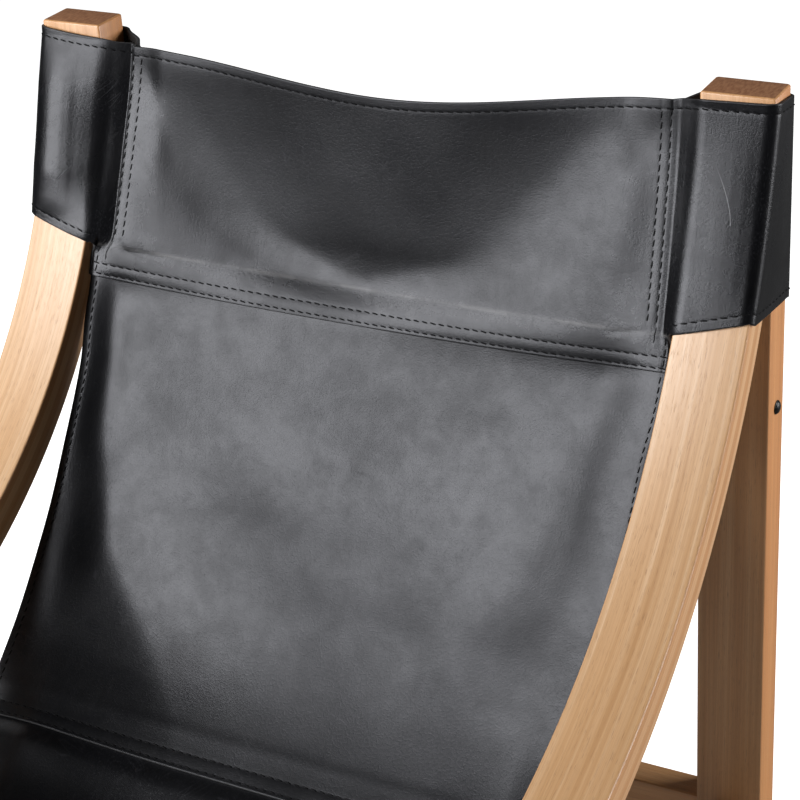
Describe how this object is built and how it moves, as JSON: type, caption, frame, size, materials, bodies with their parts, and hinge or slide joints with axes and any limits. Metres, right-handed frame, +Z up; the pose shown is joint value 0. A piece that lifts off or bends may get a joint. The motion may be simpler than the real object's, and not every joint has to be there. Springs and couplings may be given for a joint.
{
  "type": "sling lounge chair",
  "caption": "Low lounge chair: bent wooden side members and straight rear posts carry a thick stitched leather sling with pockets over the post tops.",
  "frame": {"origin": "centre of the bounding box on the floor", "axes": "+X the sitter's left, +Y to the back of the chair, +Z up; the chair faces -Y"},
  "size_m": [0.6808, 0.7834, 0.85],
  "materials": {
    "wood": "satin clear lacquer on pale laminated hardwood",
    "leather": "thick waxed saddle leather, black, cloudy sheen",
    "black_bolt": "black coated steel, satin",
    "zinc_nut": "zinc plated",
    "glide": "matte"
  },
  "bodies": {
    "root": {"back_panel": "leather", "front_dowel": "wood", "front_sleeve": "leather", "head_panel": "leather", "left_front_dowel_bolt": "black_bolt", "left_front_dowel_nut": "zinc_nut", "left_front_glide": "glide", "left_lower_rail_bolt": "black_bolt", "left_lower_rail_nut": "zinc_nut", "left_pocket": "leather", "left_rear_glide": "glide", "left_rear_post": "wood", "left_side_member": "wood", "left_side_stretcher": "wood", "left_stretcher_front_bolt": "black_bolt", "left_stretcher_front_nut": "zinc_nut", "left_stretcher_rear_bolt": "black_bolt", "left_stretcher_rear_nut": "zinc_nut", "left_top_joint_bolt_1": "black_bolt", "left_top_joint_bolt_2": "black_bolt", "left_top_joint_insert_1": "zinc_nut", "left_top_joint_insert_2": "zinc_nut", "left_upper_rail_bolt": "black_bolt", "left_upper_rail_nut": "zinc_nut", "lower_back_rail": "wood", "right_front_dowel_bolt": "black_bolt", "right_front_dowel_nut": "zinc_nut", "right_front_glide": "glide", "right_lower_rail_bolt": "black_bolt", "right_lower_rail_nut": "zinc_nut", "right_pocket": "leather", "right_rear_glide": "glide", "right_rear_post": "wood", "right_side_member": "wood", "right_side_stretcher": "wood", "right_stretcher_front_bolt": "black_bolt", "right_stretcher_front_nut": "zinc_nut", "right_stretcher_rear_bolt": "black_bolt", "right_stretcher_rear_nut": "zinc_nut", "right_top_joint_bolt_1": "black_bolt", "right_top_joint_bolt_2": "black_bolt", "right_top_joint_insert_1": "zinc_nut", "right_top_joint_insert_2": "zinc_nut", "right_upper_rail_bolt": "black_bolt", "right_upper_rail_nut": "zinc_nut", "seat_panel": "leather", "upper_back_rail": "wood"}
  },
  "joints": []
}
